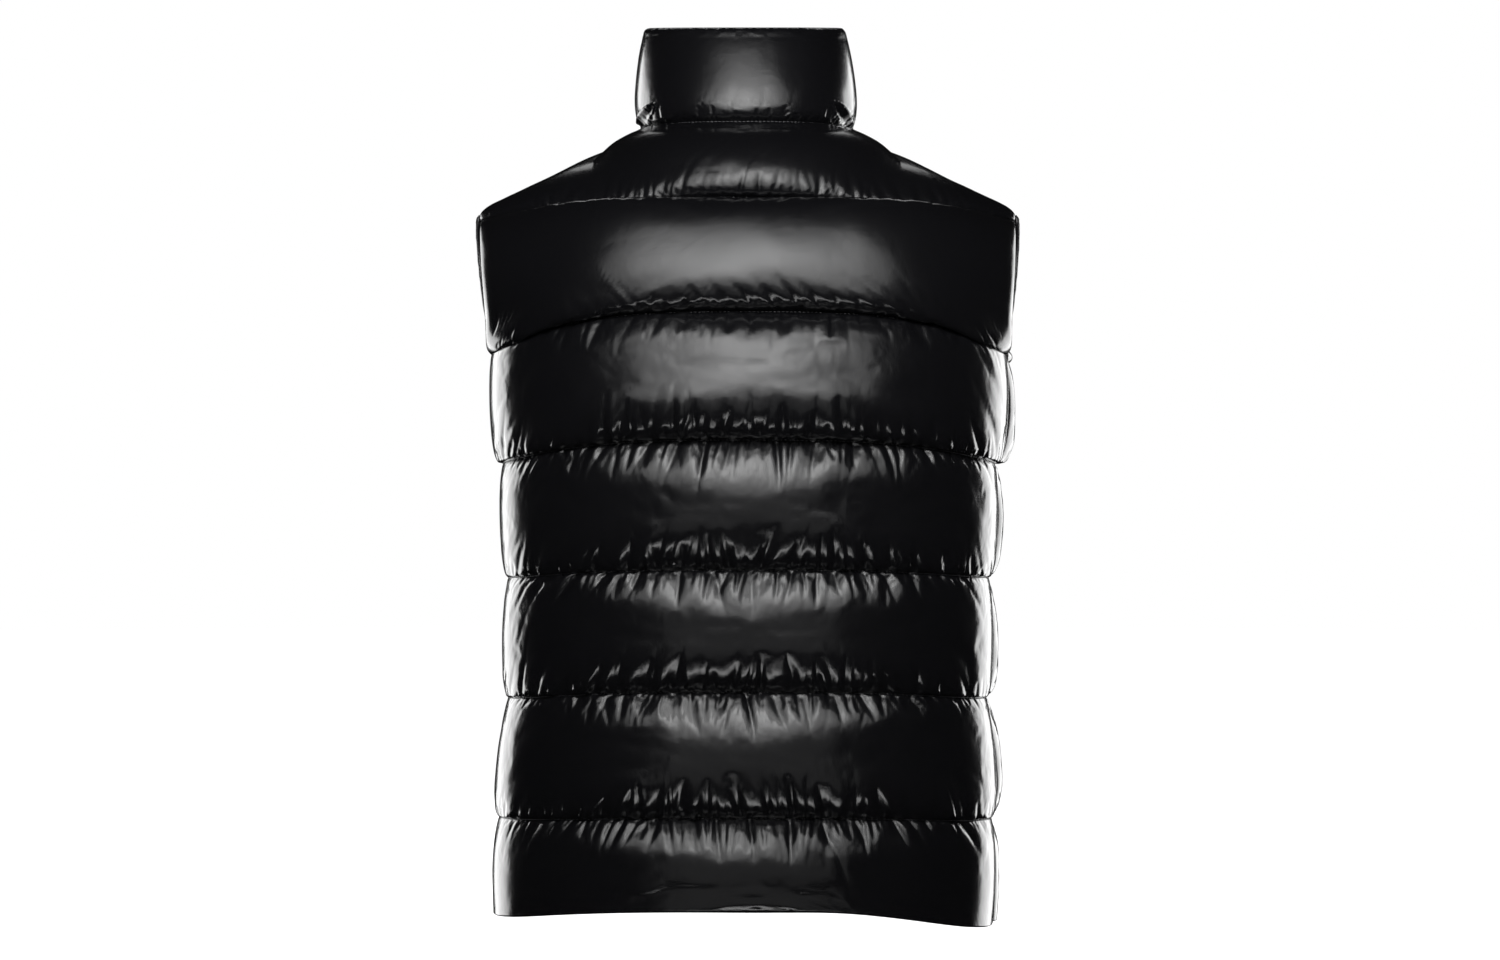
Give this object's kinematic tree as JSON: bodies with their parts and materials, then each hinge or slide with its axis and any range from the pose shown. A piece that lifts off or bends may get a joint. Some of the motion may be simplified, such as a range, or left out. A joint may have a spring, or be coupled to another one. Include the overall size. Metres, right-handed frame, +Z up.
{
  "type": "padded vest",
  "caption": "Sleeveless padded vest in glossy black cloth, quilted across in wide channels, with a stand collar and a closed front zip, in its worn, filled-out shape.",
  "frame": {"origin": "between the shoulders, in the middle of the neck at the height of the neck points, where the wearer carries the vest", "axes": "+Z up along the wearer, -Y out of the zipped front, +Y out of the back, +X to the wearer's left"},
  "size_m": [0.4711, 0.2928, 0.7832],
  "materials": {
    "shell": "glossy",
    "binding": "satin",
    "tape": "matte",
    "metal": "glossy black"
  },
  "bodies": {
    "vest": {"back_panel": "shell", "back_yoke": "shell", "front_left": "shell", "front_right": "shell", "collar": "shell", "armhole_binding_left": "binding", "armhole_binding_right": "binding", "zip_tape_left": "tape", "zip_tape_right": "tape", "zip_chain": "metal", "zip_slider": "metal"},
    "zip_pull": {"zip_pull_tab": "metal"}
  },
  "joints": [
    {"name": "pull_hinge", "type": "hinge", "parent": "vest", "child": "zip_pull", "pos_m": [0.00253, -0.10258, 0.01421], "axis": [1, 0, 0], "range_deg": [-150, 0]}
  ]
}
